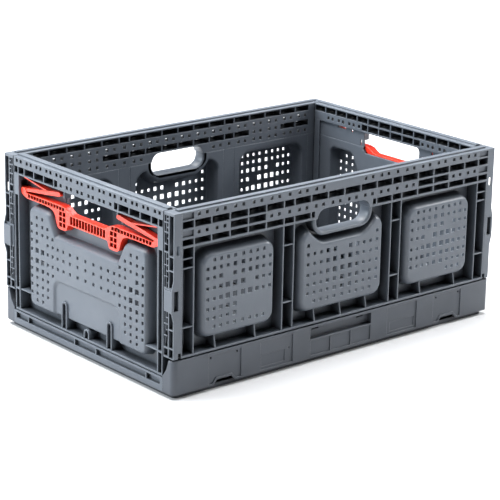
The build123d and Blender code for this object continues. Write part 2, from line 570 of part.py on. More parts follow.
RAIL_IN, GROOVE_IN, GROOVE_OUT = END_FIELD, 165, 172.5
BOLT_SLOT = (205.5, 224)     # height of the slot in which the latch bolt slides
BOLT_X = 288.5
with BuildPart() as end_rails:
    for side in (-1, 1):
        with Locations((-(END_OUT + END_IN) / 2, side * (RAIL_IN + END_HALF) / 2,
                        (END_BOTTOM + END_BAND) / 2)):
            Box(WALL_T, END_HALF - RAIL_IN, END_BAND - END_BOTTOM)
        with BuildSketch(Plane.YZ.offset(-END_OUT)):
            middle, width = side * (GROOVE_IN + GROOVE_OUT) / 2, GROOVE_OUT - GROOVE_IN
            draw_boxes([(middle - width / 2, middle + width / 2, END_BOTTOM + RAIL_T, 59.5),
                        (middle - width / 2, middle + width / 2, 62.5, 202)])
        extrude(amount=POCKET, mode=Mode.SUBTRACT)
        with Locations((-BOLT_X, side * (RAIL_IN + GROOVE_OUT) / 2, sum(BOLT_SLOT) / 2)):
            Box(11, GROOVE_OUT - RAIL_IN, BOLT_SLOT[1] - BOLT_SLOT[0], mode=Mode.SUBTRACT)
save_pair(end_rails, Plane.YZ, ("left_wall_rails", "right_wall_rails"))

with BuildPart() as end_bottom_rail:
    with Locations((-(END_OUT + END_IN) / 2, 0, END_BOTTOM + RAIL_T / 2)):
        Box(WALL_T, 2 * END_FIELD, RAIL_T)
save_pair(end_bottom_rail, Plane.YZ, ("left_wall_bottom_rail", "right_wall_bottom_rail"))

# Plates behind the latch arms, with two struts that hang from the band beside the hand hole,
# and on each side a long slot, a round hole and an upright slot
STRUT_Y, STRUT_LOW = END_HAND_HALF + 1.5, 218.5
with BuildPart() as latch_guides:
    for side in (-1, 1):
        with Locations((-(PLATE_OUT + PLATE_IN) / 2, side * (END_FIELD + END_HAND_HALF - 9) / 2,
                        (SPLIT_Z + END_BAND) / 2)):
            Box(SKIN, END_FIELD - END_HAND_HALF + 9, END_BAND - SPLIT_Z)
        with Locations((-PLATE_OUT, side * 113, 229.3)):
            Box(2 * SKIN, 20, 3.6, mode=Mode.SUBTRACT)
        with Locations((-PLATE_OUT, side * 67.5, 214)):
            Box(2 * SKIN, 3.5, 9, mode=Mode.SUBTRACT)
        with Locations(Location((-PLATE_OUT, side * 89, 228), (0, 90, 0))):
            Cylinder(2.5, 2 * SKIN, mode=Mode.SUBTRACT)
        with Locations((-(PLATE_OUT + 290) / 2, side * STRUT_Y, (STRUT_LOW + END_BAND) / 2)):
            Box(290 - PLATE_OUT, 3, END_BAND - STRUT_LOW)
    add(hand_hole.part, mode=Mode.SUBTRACT)
save_pair(latch_guides, Plane.YZ, ("left_latch_guides", "right_latch_guides"))

with BuildPart() as end_lugs:
    with Locations(*[(-END_AXIS_X, y, (END_AXIS_Z + END_BOTTOM) / 2) for y in END_LUGS]):
        Box(2 * LUG_R, LUG_W, END_BOTTOM - END_AXIS_Z)
    with Locations(*[Location((-END_AXIS_X, y, END_AXIS_Z), (90, 0, 0)) for y in END_LUGS]):
        Cylinder(LUG_R, LUG_W)
        Cylinder(PIN_R, LUG_W + 2 * CHEEK_W)
save_pair(end_lugs, Plane.YZ, ("left_wall_hinge_lugs", "right_wall_hinge_lugs"))

# ---------------------------------------------------------------- latches

LATCH_FRONT, LATCH_T = 295, 12
ARM_END, BOLT_END = 161.5, 171.5
BOLT_Z = 210.5
# half outline of the latch, from the top of the grip round the arm and back
latch_half = [(40, 200), (46, 203), (53, 207.3), (62, 209), (104, 208.6), (146, 207.4),
              (150, 207.8), (150, 214.3), (ARM_END, 214.3), (ARM_END, 206.7), (157, 203.4),
              (148, 200.1), (104, 200.2), (90, 199.4), (82, 196.8), (77, 191), (75, 184),
              (73, 178), (70, 175), (66, 174), (54, 174), (50.5, 175.2), (48.5, 178.5),
              (47.5, 183), (45.5, 184.8)]


def rounded_off(points, cuts):
    """A closed outline whose corners are cut off again and again, by shorter and shorter cuts."""
    for cut in cuts:
        shorter = []
        for before, (y, z), after in zip(points[-1:] + points[:-1], points, points[1:] + points[:1]):
            for other_y, other_z in (before, after):
                share = min(0.3, cut / hypot(other_y - y, other_z - z))
                shorter.append((y + share * (other_y - y), z + share * (other_z - z)))
        points = shorter
    return points


with BuildPart() as latch:
    with BuildSketch(Plane.YZ.offset(-LATCH_FRONT)):
        outline = latch_half + [(-y, z) for y, z in reversed(latch_half)]
        Polygon(*rounded_off(outline, (1.6, 0.7)), align=None)
    extrude(amount=LATCH_T)
    # ladder of pockets in the grip, the legs and the arms
    with BuildSketch(Plane.YZ.offset(-LATCH_FRONT)):
        with Locations((0, 192.4)):
            with GridLocations(7, 0, 12, 1):
                Rectangle(5.8, 12)
        for side in (-1, 1):
            with Locations((side * 60, 189)):
                with GridLocations(8.5, 8, 2, 3):
                    Rectangle(7, 6.6)
            with Locations(*[(side * y, 204.4) for y in range(58, 144, 7)]):
                Rectangle(5.8, 5.4)
    extrude(amount=LATCH_T - 4, mode=Mode.SUBTRACT)
    for side in (-1, 1):
        with Locations((-BOLT_X, side * (ARM_END + BOLT_END) / 2, BOLT_Z)):
            Box(8, BOLT_END - ARM_END, 6)
save_pair(latch, Plane.YZ, ("left_latch_handle", "right_latch_handle"))

TONGUE = [(150, 209.8), (150, 214.3), (110, 220.6), (72, 226.3), (67.5, 226), (65.5, 223.5),
          (66.5, 221), (70, 219.9), (110, 214.6)]
LEAF = [(98, 222.7), (106, 221.4), (156, 229), (156, 231), (106, 223.6)]
with BuildPart() as latch_springs:
    with BuildSketch(Plane.YZ.offset(-LATCH_FRONT + 1)):
        for side in (-1, 1):
            Polygon(*[(side * y, z) for y, z in TONGUE], align=None)
            Polygon(*[(side * y, z) for y, z in LEAF], align=None)
    extrude(amount=LATCH_T - 2)
save_pair(latch_springs, Plane.YZ, ("left_latch_springs", "right_latch_springs"))
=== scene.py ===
"""Looks of the collapsible storage crate: camera, studio light, plastics and moulded details.

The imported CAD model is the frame. The perforated panels are rebuilt here as smooth thin shells,
and every other CAD node keeps its shape and gets rounded edges and a moulded plastic material.
Lengths are millimetres unless a comment says otherwise; MM turns them into Blender's metres.
"""

from math import cos, hypot, pi, radians, sin

import bmesh
import bpy
import numpy as np
from mathutils import Matrix, Vector


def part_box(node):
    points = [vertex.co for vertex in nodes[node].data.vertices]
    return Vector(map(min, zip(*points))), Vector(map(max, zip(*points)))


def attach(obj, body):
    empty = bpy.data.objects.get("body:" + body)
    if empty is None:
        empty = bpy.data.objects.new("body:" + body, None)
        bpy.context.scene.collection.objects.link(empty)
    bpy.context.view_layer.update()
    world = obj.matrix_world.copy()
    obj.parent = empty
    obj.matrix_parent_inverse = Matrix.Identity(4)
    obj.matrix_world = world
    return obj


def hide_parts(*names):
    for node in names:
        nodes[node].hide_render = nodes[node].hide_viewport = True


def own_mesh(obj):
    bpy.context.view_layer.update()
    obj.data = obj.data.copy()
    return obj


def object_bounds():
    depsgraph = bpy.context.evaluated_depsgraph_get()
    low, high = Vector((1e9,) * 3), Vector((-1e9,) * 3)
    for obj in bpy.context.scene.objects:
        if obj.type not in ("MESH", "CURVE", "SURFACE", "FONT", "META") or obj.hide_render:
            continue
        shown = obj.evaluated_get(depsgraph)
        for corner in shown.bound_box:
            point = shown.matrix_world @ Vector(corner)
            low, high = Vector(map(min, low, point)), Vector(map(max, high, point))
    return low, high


MM = 0.001
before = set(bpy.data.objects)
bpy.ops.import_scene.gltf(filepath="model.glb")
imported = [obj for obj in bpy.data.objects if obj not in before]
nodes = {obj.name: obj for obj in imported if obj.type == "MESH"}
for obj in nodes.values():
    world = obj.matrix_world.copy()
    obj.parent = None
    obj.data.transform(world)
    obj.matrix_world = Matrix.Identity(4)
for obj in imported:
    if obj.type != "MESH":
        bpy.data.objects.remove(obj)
cad_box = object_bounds()
scene = bpy.context.scene

# ------------------------------------------------------------------------- camera, in metres

low, high = cad_box
centre = (low + high) / 2
AZIMUTH, ELEVATION, ROLL = radians(-40.28), radians(17.18), radians(1.12)
DISTANCE = 2.92055
AIM = Vector((-0.03134, -0.03483, -0.010)) + centre
LENS = 145.0

camera = bpy.data.objects.new("camera", bpy.data.cameras.new("camera"))
scene.collection.objects.link(camera)
back = Vector((sin(AZIMUTH) * cos(ELEVATION), -cos(AZIMUTH) * cos(ELEVATION), sin(ELEVATION)))
forward = -back
right = forward.cross(Vector((0, 0, 1))).normalized()
up = right.cross(forward)
right, up = cos(ROLL) * right + sin(ROLL) * up, cos(ROLL) * up - sin(ROLL) * right
camera.matrix_world = Matrix.Translation(AIM + back * DISTANCE) @ Matrix((
    (right.x, up.x, back.x, 0), (right.y, up.y, back.y, 0), (right.z, up.z, back.z, 0),
    (0, 0, 0, 1)))
camera.data.lens = LENS
camera.data.clip_start, camera.data.clip_end = 0.05, 60
scene.camera = camera
scene.view_settings.view_transform = "Standard"

# ------------------------------------------------------------------------- materials


def new_material(name):
    """A material with an empty node tree, its links, and a function that adds a node."""
    material = bpy.data.materials.new(name)
    material.use_nodes = True
    tree = material.node_tree
    tree.nodes.clear()

    def node(kind, **settings):
        made = tree.nodes.new("ShaderNode" + kind)
        for key, value in settings.items():
            if key in made.inputs:
                made.inputs[key].default_value = value
            else:
                setattr(made, key, value)
        return made

    return material, node, tree.links.new


EDGE_ROUNDING = 1.1          # radius within which an edge is painted paler, partly as wear and partly as a painted highlight
POCKET_SHADE_TONE = 0.05           # brightness of the painted pocket shade as a share of the darker body colour


def moulded_plastic(name, dark, light, worn_and_lit_edge, roughness, grain, specular, pocket_shade, reach):
    """Moulded plastic: cloudy colour, fine grain, scuffs, paler edges that are partly wear and partly
    a painted highlight, and painted shade in the pockets.

    The share of painted shade in the deepest pockets is set per material, and reach is how wide a
    pocket may be.
    """
    material, node, link = new_material(name)
    place = node("TexCoord").outputs["Object"]

    clouds = node("TexNoise", Scale=9.0, Detail=5.0, Roughness=0.62)
    link(place, clouds.inputs["Vector"])
    cloud_ramp = node("MapRange", **{"From Min": 0.3, "From Max": 0.7})
    link(clouds.outputs["Fac"], cloud_ramp.inputs["Value"])
    body = node("Mix", data_type="RGBA")
    body.inputs[6].default_value = (*dark, 1)
    body.inputs[7].default_value = (*light, 1)
    link(cloud_ramp.outputs["Result"], body.inputs["Factor"])

    # scuffs: long thin marks that show only in a few patches
    stretched = node("Mapping", Rotation=(0.5, 0.9, 0.4), Scale=(60, 60, 900))
    link(place, stretched.inputs["Vector"])
    marks = node("TexNoise", Scale=1.0, Detail=3.0, Roughness=0.7)
    link(stretched.outputs["Vector"], marks.inputs["Vector"])
    mark_ramp = node("MapRange", **{"From Min": 0.6, "From Max": 0.78})
    link(marks.outputs["Fac"], mark_ramp.inputs["Value"])
    patches = node("TexNoise", Scale=14.0, Detail=2.0)
    link(place, patches.inputs["Vector"])
    patch_ramp = node("MapRange", **{"From Min": 0.5, "From Max": 0.66})
    link(patches.outputs["Fac"], patch_ramp.inputs["Value"])
    scuffs = node("Math", operation="MULTIPLY")
    link(mark_ramp.outputs["Result"], scuffs.inputs[0])
    link(patch_ramp.outputs["Result"], scuffs.inputs[1])

    # edges: where a rounded normal leaves the true one; they are painted paler, partly as wear and
    # partly as a painted highlight
    rounded = node("Bevel", samples=4, Radius=EDGE_ROUNDING * MM)
    true = node("NewGeometry")
    bend = node("VectorMath", operation="DOT_PRODUCT")
    link(rounded.outputs["Normal"], bend.inputs[0])
    link(true.outputs["Normal"], bend.inputs[1])
    edge = node("MapRange", **{"From Min": 0.995, "From Max": 0.80})
    link(bend.outputs["Value"], edge.inputs["Value"])
    edge_break_noise = node("TexNoise", Scale=70.0, Detail=4.0)
    link(place, edge_break_noise.inputs["Vector"])
    edge_break_ramp = node("MapRange", **{"From Min": 0.35, "From Max": 0.65, "To Min": 0.35})
    link(edge_break_noise.outputs["Fac"], edge_break_ramp.inputs["Value"])
    worn_and_lit_mask = node("Math", operation="MULTIPLY")
    link(edge.outputs["Result"], worn_and_lit_mask.inputs[0])
    link(edge_break_ramp.outputs["Result"], worn_and_lit_mask.inputs[1])
    marked = node("Math", operation="MULTIPLY_ADD")
    marked.inputs[1].default_value = 0.30
    link(scuffs.outputs["Value"], marked.inputs[0])
    link(worn_and_lit_mask.outputs["Value"], marked.inputs[2])
    marked.use_clamp = True
    worn_and_lit_body = node("Mix", data_type="RGBA")
    link(marked.outputs["Value"], worn_and_lit_body.inputs["Factor"])
    link(body.outputs[2], worn_and_lit_body.inputs[6])
    worn_and_lit_body.inputs[7].default_value = (*worn_and_lit_edge, 1)

    # painted shade in the pockets and behind the ribs, darkest where the ambient occlusion is
    # strongest
    occlusion = node("AmbientOcclusion", samples=8, Distance=reach * MM)
    painted_shade = node("MapRange", **{"From Min": 0.18, "From Max": 0.58, "To Min": pocket_shade, "To Max": 0.0})
    link(occlusion.outputs["AO"], painted_shade.inputs["Value"])
    colour = node("Mix", data_type="RGBA")
    link(painted_shade.outputs["Result"], colour.inputs["Factor"])
    link(worn_and_lit_body.outputs[2], colour.inputs[6])
    colour.inputs[7].default_value = (*[POCKET_SHADE_TONE * v for v in dark], 1)

    gloss = node("MapRange", **{"From Min": 0.3, "From Max": 0.7,
                                "To Min": roughness - 0.05, "To Max": roughness + 0.07})
    link(patches.outputs["Fac"], gloss.inputs["Value"])
    rough = node("Math", operation="MULTIPLY_ADD")
    rough.inputs[1].default_value = 0.15
    link(scuffs.outputs["Value"], rough.inputs[0])
    link(gloss.outputs["Result"], rough.inputs[2])

    fine = node("TexNoise", Scale=1500.0, Detail=2.0)
    link(place, fine.inputs["Vector"])
    flow = node("TexNoise", Scale=55.0, Detail=3.0)
    link(place, flow.inputs["Vector"])
    height = node("Math", operation="MULTIPLY_ADD")
    height.inputs[1].default_value = grain
    link(fine.outputs["Fac"], height.inputs[0])
    link(flow.outputs["Fac"], height.inputs[2])
    bump = node("Bump", Strength=0.35, Distance=0.25 * MM)
    link(height.outputs["Value"], bump.inputs["Height"])
    link(rounded.outputs["Normal"], bump.inputs["Normal"])

    shader = node("BsdfPrincipled")
    shader.inputs["Specular IOR Level"].default_value = specular
    shader.inputs["IOR"].default_value = 1.49
    link(colour.outputs[2], shader.inputs["Base Color"])
    link(rough.outputs["Value"], shader.inputs["Roughness"])
    link(bump.outputs["Normal"], shader.inputs["Normal"])
    output = node("OutputMaterial")
    link(shader.outputs["BSDF"], output.inputs["Surface"])
    return material


crate_plastic = moulded_plastic(
    "crate_plastic", dark=(0.080, 0.093, 0.113), light=(0.100, 0.116, 0.138),
    worn_and_lit_edge=(0.20, 0.227, 0.26), roughness=0.38, grain=0.35, specular=0.5, pocket_shade=0.92, reach=38)
# the base is the crate's plastic painted darker: painted shade for the dimmer light on the base's
# skirts
base_painted_shade = moulded_plastic(
    "base_painted_shade", dark=(0.052, 0.060, 0.074), light=(0.068, 0.078, 0.095),
    worn_and_lit_edge=(0.15, 0.17, 0.20), roughness=0.42, grain=0.4, specular=0.5, pocket_shade=0.92, reach=38)
# the tray floor is painted far darker than the walls: painted shade for the dark inside of the crate
# seen through the panel holes
painted_shade_tray = moulded_plastic(
    "painted_shade_tray", dark=(0.017, 0.020, 0.025), light=(0.025, 0.029, 0.036),
    worn_and_lit_edge=(0.06, 0.07, 0.08), roughness=0.55, grain=0.4, specular=0.3, pocket_shade=0.92, reach=38)
latch_plastic = moulded_plastic(
    "latch_plastic", dark=(0.80, 0.026, 0.009), light=(0.90, 0.045, 0.016),
    worn_and_lit_edge=(1.0, 0.32, 0.20), roughness=0.30, grain=0.2, specular=0.6, pocket_shade=0.85, reach=11)

# ------------------------------------------------------------------------- CAD nodes


SOFT_EDGE, SHELL_EDGE, RIB_EDGE = 0.35, 0.45, 0.3


def round_edges(obj, width, degrees):
    """Bevel the edges that are sharper than an angle."""
    edge = obj.modifiers.new("edge", "BEVEL")
    edge.width = width * MM
    edge.segments = 2
    edge.limit_method = "ANGLE"
    edge.angle_limit = radians(degrees)


def soften(obj):
    """Round the sharp edges of a CAD node with modifiers; its own mesh stays as packed."""
    weld = obj.modifiers.new("weld", "WELD")
    weld.merge_threshold = 0.002 * MM
    flat = obj.modifiers.new("flat", "DECIMATE")
    flat.decimate_type = "DISSOLVE"
    flat.angle_limit = radians(0.5)
    round_edges(obj, SOFT_EDGE, 35)


for name, obj in nodes.items():
    material = crate_plastic
    if "latch_handle" in name or "springs" in name:
        material = latch_plastic
    elif name.startswith(("base_side", "corner_block", "foot")):
        material = base_painted_shade
    elif name.startswith(("base_floor", "floor_ribs")):
        material = painted_shade_tray
    obj.data.materials.clear()
    obj.data.materials.append(material)
    soften(obj)

# each latch's springs get a mesh of their own; the real spring tongues are pressed flat under the rim
# band as their latch lifts
for side in ("left", "right"):
    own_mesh(nodes[f"{side}_latch_springs"])

# ------------------------------------------------------------------------- moulded sheets

SKIN = 2.5                   # thickness of the panel shells
NEAREST_LINES = 0.05         # grid lines closer than this are merged


def to_wall(side, u, out, z):
    """Row-frame point in metres from a wall's own coordinates: along, outward and up."""
    x, y = {"front": (u, -out), "back": (u, out), "left": (-out, u), "right": (out, u)}[side]
    return x * MM, y * MM, z * MM


def smooth(t):
    """Smooth step from 0 at t = 0 to 1 at t = 1."""
    t = np.clip(t, 0, 1)
    return t * t * (3 - 2 * t)


def rounded_box(u, z, middle_u, middle_z, half_u, half_z, radius):
    """Signed distance to a rectangle with rounded corners, negative inside."""
    du = np.abs(u - middle_u) - half_u + radius
    dz = np.abs(z - middle_z) - half_z + radius
    outside = np.hypot(np.maximum(du, 0), np.maximum(dz, 0))
    return outside + np.minimum(np.maximum(du, dz), 0) - radius


def grid_lines(low, high, fixed, step):
    """Sorted grid lines from low to high that hold every fixed line, none further than step apart."""
    lines = sorted({round(v, 4) for v in [low, high, *fixed] if low <= v <= high})
    out = [lines[0]]
    for a, b in zip(lines, lines[1:]):
        if b - a < NEAREST_LINES:
            continue
        count = max(1, int(np.ceil((b - a) / step)))
        out += [a + (b - a) * (k + 1) / count for k in range(count)]
    return np.array(out)


def add_mesh(name, vertices, faces, side=None):
    """A new mesh object; faces are turned to look outward on the walls that are mirrored."""
    mesh = bpy.data.meshes.new(name)
    if side in ("back", "left"):
        faces = [face[::-1] for face in faces]
    mesh.from_pydata(vertices, [], faces)
    mesh.update()
    obj = bpy.data.objects.new(name, mesh)
    scene.collection.objects.link(obj)
    obj.data.polygons.foreach_set("use_smooth", [True] * len(mesh.polygons))
    return obj


def moulded_sheet(name, side, u_lines, z_lines, outward, holes, gone):
    """A thin shell over a grid: outward gives its outer surface, holes are cut as grid cells.

    Gone tells which places have no shell at all, such as a hand hole.
    """
    grid_u, grid_z = np.meshgrid(u_lines, z_lines, indexing="ij")
    out = outward(grid_u, grid_z)
    mid_u, mid_z = np.meshgrid((u_lines[1:] + u_lines[:-1]) / 2, (z_lines[1:] + z_lines[:-1]) / 2,
                               indexing="ij")
    open_cell = gone(mid_u, mid_z)
    for a, b, c, d in holes:
        open_cell |= (mid_u > a) & (mid_u < b) & (mid_z > c) & (mid_z < d)
    vertices = [to_wall(side, *p) for p in zip(grid_u.ravel(), out.ravel(), grid_z.ravel())]
    columns = len(z_lines)
    faces = [(i * columns + j, (i + 1) * columns + j, (i + 1) * columns + j + 1, i * columns + j + 1)
             for i, j in np.argwhere(~open_cell)]
    obj = add_mesh(name, vertices, faces, side)
    shell = obj.modifiers.new("shell", "SOLIDIFY")
    shell.thickness = SKIN * MM
    shell.offset = -1
    round_edges(obj, SHELL_EDGE, 50)
    obj.data.materials.append(crate_plastic)
    return obj


def hole_boxes(columns, rows, width):
    """Square holes of a perforated panel; a width of 0 leaves a plain spot."""
    for u in columns:
        for z in rows:
            half = width(u, z) / 2
            if half:
                yield u - half, u + half, z - half, z + half


def around(edge, inward, outward, step=1.0):
    """Closely spaced grid lines on both sides of the edge of a slope."""
    return [edge + v for v in np.arange(-inward, outward + 0.01, step)]


# Long walls
FACE_LOW, FACE_HIGH, FACE_Z = 80.5, 190.0, 135.25
SIDE_ROWS = (90.5, 103, 115.9, 129.8, 145.2, 159.6, 172.5, 184.3)
OUTER_COLUMNS = [s * c for c in (7, 19.5, 31.3, 42.7, 54) for s in (-1, 1)]
CENTRE_COLUMNS = [0] + [s * c for c in (14.4, 27.7, 40.2, 52.5, 64.7) for s in (-1, 1)]
HAND = dict(middle_u=0, middle_z=205, half_u=49.5, half_z=16.5, radius=15)
HAND_EDGE = 2.0              # the shell's opening is this much larger than the hand hole
SLOPE, SHOULDER = 9.0, 1.5   # width of a bulge's slope, and how far inside the face it starts
FACE_RADIUS = 13
SIDE_STEP = 2.4              # widest grid spacing
OUTER_HALF, CENTRE_HALF = 59, 73
PANEL_MIDDLE = 137.5         # height of the largest holes
# gate marks: the two plain spots in the middle of the hole pattern
LEFT_GATES = ((-19.5, 159.6), (19.5, 145.2))
RIGHT_GATES = ((19.5, 159.6), (-19.5, 145.2))
# dish round the hand hole, which widens upwards from its bottom
DISH = dict(middle_z=200, half_u=51, half_z=25.5, radius=20)
DISH_SPREAD, SPREAD_FROM, SPREAD_HEIGHT = 12, 176, 24
DISH_SLOPE = 8


def side_hole(u, z):
    """Width of a hole of a long wall's panel, larger towards the middle of the panel."""
    return (5, 6.5, 8)[max(0, min(2, int(3.2 - hypot(u, z - PANEL_MIDDLE) / 18)))]


def hole_left(u, z):
    """The left panel has plain corners, two gate marks and a blank field."""
    plain = ((abs(u) > 50 and not 95 < z < 180) or (u > 0 and 100 < z < 120)
             or (u, z) in LEFT_GATES)
    return 0 if plain else side_hole(u, z)


def hole_right(u, z):
    """The right panel has plain corners, two gate marks and a short blank field."""
    plain = ((abs(u) > 50 and not 95 < z < 180) or (u < 10 and z < 95)
             or (u, z) in RIGHT_GATES)
    return 0 if plain else side_hole(u, z)


def hole_centre(u, z):
    """The centre panel is plain beside and below the hand hole and in its lower corners."""
    plain = (z > 180 or (z > 170 and abs(u) < 60) or (z > 155 and u == 0)
             or (z < 95 and abs(u) > 60))
    return 0 if plain else side_hole(u, z)


def side_panel(side, which, face_half, columns, hole):
    """One perforated panel of a long wall, with the dish of the hand hole in the centre one."""
    node = f"{side}_panel_{which}"
    lowest, highest = (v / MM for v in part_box(node))
    middle, field_half = (lowest.x + highest.x) / 2, (highest.x - lowest.x) / 2
    out_low, out_high = min(abs(lowest.y), abs(highest.y)), max(abs(lowest.y), abs(highest.y))
    field, rise = out_low + SKIN, out_high - out_low - SKIN

    def outward(u, z):
        d = rounded_box(u, z, middle, FACE_Z, face_half, FACE_Z - FACE_LOW, FACE_RADIUS)
        t = np.clip((d + SHOULDER) / SLOPE, 0, 1)
        level = (1 - t ** 2.2) ** 0.8
        if which == "centre":
            spread = DISH_SPREAD * smooth((z - SPREAD_FROM) / SPREAD_HEIGHT)
            dish = rounded_box(u, z, 0, DISH["middle_z"], DISH["half_u"] + spread,
                               DISH["half_z"], DISH["radius"])
            level = np.minimum(level, 1 - smooth(0.5 - dish / DISH_SLOPE))
        return field + rise * level

    holes = [(middle + a, middle + b, c, d) for a, b, c, d in hole_boxes(columns, SIDE_ROWS, hole)]
    fixed_u = [v for hole_box in holes for v in hole_box[:2]]
    fixed_z = [v for hole_box in holes for v in hole_box[2:]]
    for sign in (-1, 1):
        fixed_u += [middle + sign * v for v in around(face_half, 3, 8)]
    fixed_z += around(FACE_LOW, 8, 3) + around(FACE_HIGH, 3, 8)

    def gone(u, z):
        if which != "centre":
            return np.zeros(u.shape, bool)
        return rounded_box(u, z, **HAND) < HAND_EDGE

    obj = moulded_sheet(f"{side}_shell_{which}", side,
                        grid_lines(middle - field_half, middle + field_half, fixed_u, SIDE_STEP),
                        grid_lines(lowest.z, highest.z, fixed_z, SIDE_STEP), outward, holes, gone)
    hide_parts(node)
    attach(obj, f"side_wall_{side}")


def sweep(name, side, body, path, section):
    """A closed section swept along a path of (u, z, nu, nz); it ends in flat caps.

    Each section point is a distance along the path's normal and a place across the wall.
    """
    count = len(section)
    vertices = [to_wall(side, u + nu * off, out, z + nz * off)
                for u, z, nu, nz in path for off, out in section]
    faces = [(i * count + j, i * count + (j + 1) % count,
              (i + 1) * count + (j + 1) % count, (i + 1) * count + j)
             for i in range(len(path) - 1) for j in range(count)]
    faces += [tuple(range(count))[::-1], tuple((len(path) - 1) * count + j for j in range(count))]
    obj = add_mesh(name, vertices, faces)
    shape = bmesh.new()
    shape.from_mesh(obj.data)
    bmesh.ops.recalc_face_normals(shape, faces=shape.faces)
    shape.to_mesh(obj.data)
    shape.free()
    round_edges(obj, RIB_EDGE, 50)
    obj.data.materials.append(crate_plastic)
    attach(obj, body)


LIP_INNER, LIP_OUTER, LIP_TOP = 176.5, 197.5, 208.5
LIP_SIDE_POINTS, LIP_ARC_STEPS = 8, 8


def hand_lip(side, inner, outer, top):
    """Rolled lip of a hand hole: a rounded wall down one side, along the bottom and up again."""
    half_u, middle_z, half_z, radius = (HAND[k] for k in ("half_u", "middle_z", "half_z", "radius"))
    bottom = middle_z - half_z
    path = [(-half_u, z, -1, 0) for z in np.linspace(top, bottom + radius, LIP_SIDE_POINTS)]
    for k in range(1, LIP_ARC_STEPS + 1):
        a = pi + k * pi / (2 * LIP_ARC_STEPS)
        path.append((-half_u + radius + radius * cos(a), bottom + radius + radius * sin(a),
                     cos(a), sin(a)))
    path += [(u, bottom, 0, -1) for u in np.linspace(-half_u + radius, half_u - radius, 14)[1:]]
    path += [(-u, z, -nu, nz) for u, z, nu, nz in path[LIP_SIDE_POINTS + LIP_ARC_STEPS - 1::-1]]
    # round the outer roll, along the outside to the flange behind the wall, and back
    section = [(0.0, outer - 3.5), (0.5, outer - 1.4), (1.7, outer - 0.3), (3.2, outer),
               (4.8, outer - 0.7), (5.9, outer - 2.3), (6.0, outer - 5), (5.0, outer - 9),
               (4.6, inner + 3), (7.0, inner + 0.9), (7.0, inner), (2.2, inner),
               (0.8, inner + 0.5), (0.1, inner + 1.8)]
    sweep(f"{side}_hand_lip", side, f"side_wall_{side}", path, section)


for side in ("front", "back"):
    side_panel(side, "left", OUTER_HALF, OUTER_COLUMNS, hole_left)
    side_panel(side, "right", OUTER_HALF, OUTER_COLUMNS, hole_right)
    side_panel(side, "centre", CENTRE_HALF, CENTRE_COLUMNS, hole_centre)
    hand_lip(side, LIP_INNER, LIP_OUTER, LIP_TOP)

# End walls. The face's outline steps down between its two shoulders
END_FACE = dict(half=136.0, low=47.0, high=190.8, top=87.0, step_half=70.0, step=160.0)
END_COLUMNS = [0] + [s * c for c in (131, 118, 104.2, 91.5, 79.2, 66.7, 52.8, 36.9, 18.8)
                     for s in (-1, 1)]
# height of each row of holes, with its innermost and outermost place
END_ROWS = {56.3: (100, 125), 66.3: (88, 140), 77.9: (88, 140), 90: (88, 140), 101.8: (75, 140),
            115: (0, 140), 130.3: (0, 140), 143.7: (0, 140), 155.8: (75, 140),
            167.4: (88, 140), 178.9: (100, 125)}
END_CORNER, END_SHOULDER, END_SLOPE = 9, 2.5, 6.5
END_HAND = dict(middle_u=0, middle_z=215, half_u=61, half_z=17, radius=8)
END_STEP = 2.6               # widest grid spacing
RECESS = dict(middle_u=0, middle_z=60, half_u=77, half_z=37, radius=14)
RECESS_DEPTH, RECESS_SLOPE = 3.2, 6
STEP_SIDE = 82               # middle of the slanted sides of the outline's step
KEYHOLES = ((-53.5, 71), (0, 45), (53.5, 71))      # place and top of each slot
KEYHOLE_FLOOR = 3            # height of a slot's floor over the plate
KEYHOLE_HALF, KEYHOLE_RADIUS, KEYHOLE_GAP = 3.6, 3.5, 3
KEYHOLE_RIB, KEYHOLE_DROP = 5.1, 6.5               # radius of the rib's bend, and its drop
RAIL_TOP = 31.0
CROSS_RIB_Z, CROSS_RIB_FROM, CROSS_RIB_TO = 61.0, 137, 162.3


def end_hole(u, z):
    """Width of a hole of the end panel: one spot is plain, and four on each side are large."""
    outer, (near, far) = abs(u), END_ROWS[z]
    if not near <= outer <= far or (z == 143.7 and outer == 104.2):
        return 0
    if outer in (104.2, 118) and 110 < z < 135:
        return 8
    return 6.5 if outer in (104.2, 118) and 95 < z < 145 else 5


def outline_distance(u, z, radius):
    """Distance to the stepped outline of the end face, negative inside, with rounded corners."""
    f = {k: v - radius if k in ("half", "high", "step") else v for k, v in END_FACE.items()}
    f["low"] += radius
    f["top"] += radius
    f["step_half"] += radius
    corners = [(-f["half"], f["low"]), (f["half"], f["low"]), (f["half"], f["high"]),
               (f["top"], f["high"]), (f["step_half"], f["step"]), (-f["step_half"], f["step"]),
               (-f["top"], f["high"]), (-f["half"], f["high"])]
    nearest, inside = np.full(u.shape, 1e9), np.zeros(u.shape, bool)
    for (u0, z0), (u1, z1) in zip(corners, corners[1:] + corners[:1]):
        du, dz = u1 - u0, z1 - z0
        t = np.clip(((u - u0) * du + (z - z0) * dz) / (du * du + dz * dz), 0, 1)
        nearest = np.minimum(nearest, np.hypot(u - u0 - t * du, z - z0 - t * dz))
        if dz:
            inside ^= ((z0 > z) != (z1 > z)) & (u < u0 + (z - z0) * du / dz)
    return np.where(inside, -nearest, nearest) - radius


